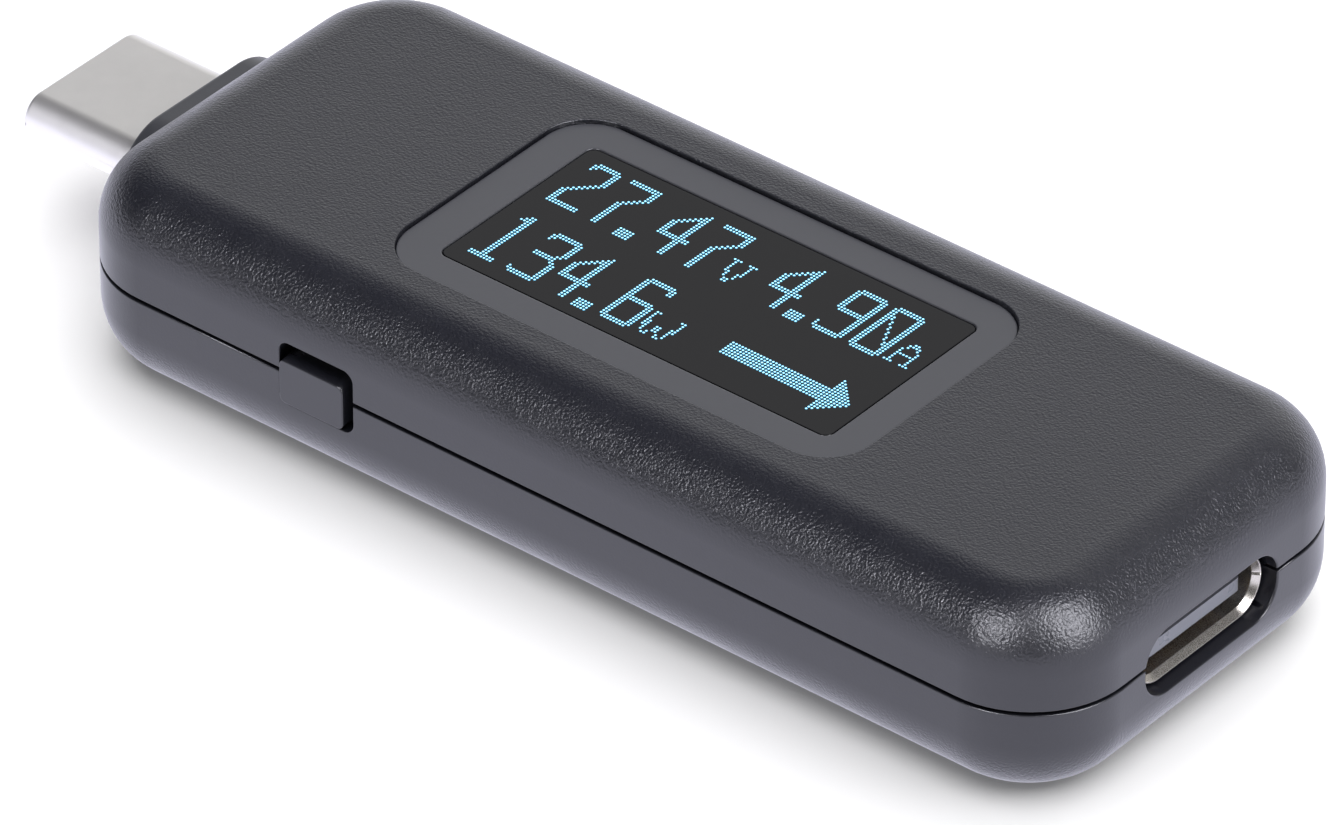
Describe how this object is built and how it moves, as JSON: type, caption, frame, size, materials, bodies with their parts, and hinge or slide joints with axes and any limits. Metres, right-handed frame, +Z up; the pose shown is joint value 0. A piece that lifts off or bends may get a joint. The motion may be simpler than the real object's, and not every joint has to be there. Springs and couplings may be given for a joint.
{
  "type": "usb power meter",
  "caption": "Slim inline power meter: rounded flat casing with a plug at one end, a socket at the other, a small recessed display on top and a side button.",
  "frame": {"origin": "centre of the casing's flat underside", "axes": "+X from the plug end to the socket end, +Z up out of the display, -Y is the side with the button; read from the -Y side, plug on the left"},
  "size_m": [0.0657, 0.0231, 0.0103],
  "materials": {
    "casing": "fine-grained matt moulding, dark grey",
    "panel": "smooth satin, mid grey",
    "lens": "clear hard-coated pane",
    "screen_film": "dark polarising film",
    "screen_glass": "display glass, dark",
    "chip_black": "moulded epoxy",
    "ribbon": "amber polyimide film",
    "foam": "black foam tape",
    "board": "green solder resist",
    "button": "smooth satin, dark grey",
    "moulded_black": "black moulding",
    "switch_steel": "stamped stainless steel",
    "nickel": "satin nickel plate",
    "spring_steel": "stainless spring steel",
    "collar": "satin moulding, near black",
    "contact_gold": "gold-flashed copper alloy",
    "tongue": "satin moulding, blue-grey",
    "part_metal": "tinned metal",
    "ceramic": "fired ceramic with tinned ends"
  },
  "bodies": {
    "casing": {"upper_shell": "casing", "lower_shell": "casing", "display_frame": "panel", "display_lens": "lens", "oled_polariser": "screen_film", "oled_front_glass": "screen_glass", "oled_rear_glass": "screen_glass", "oled_driver_chip": "chip_black", "surge_diode": "chip_black", "microcontroller": "chip_black", "sense_amplifier": "chip_black", "voltage_regulator": "chip_black", "resistor_1": "chip_black", "resistor_2": "chip_black", "resistor_3": "chip_black", "resistor_4": "chip_black", "resistor_5": "chip_black", "resistor_6": "chip_black", "oled_ribbon": "ribbon", "foam_pad": "foam", "circuit_board": "board", "switch_body": "moulded_black", "plug_insulator": "moulded_black", "power_inductor": "moulded_black", "switch_cover": "switch_steel", "switch_leaf": "switch_steel", "plug_shell": "nickel", "socket_shell": "nickel", "plug_latch_left": "spring_steel", "plug_latch_right": "spring_steel", "socket_mid_plate": "spring_steel", "plug_collar": "collar", "plug_contacts_upper": "contact_gold", "plug_contacts_lower": "contact_gold", "socket_contacts_upper": "contact_gold", "socket_contacts_lower": "contact_gold", "socket_insulator": "tongue", "shunt_resistor": "part_metal", "crystal": "part_metal", "capacitor_1": "ceramic", "capacitor_2": "ceramic", "capacitor_3": "ceramic", "capacitor_4": "ceramic"},
    "button": {"button_cap": "button"},
    "plunger": {"switch_plunger": "moulded_black"}
  },
  "joints": [
    {"name": "button_press", "type": "slide", "parent": "casing", "child": "button", "axis": [0, 1, 0], "range_m": [0, 0.00025], "stiffness_N_per_m": 4000},
    {"name": "plunger_press", "type": "slide", "parent": "casing", "child": "plunger", "axis": [0, 1, 0], "range_m": [0, 0.00025]}
  ],
  "couplings": [
    {"joint": "plunger_press", "follows": "button_press", "ratio": 1}
  ]
}
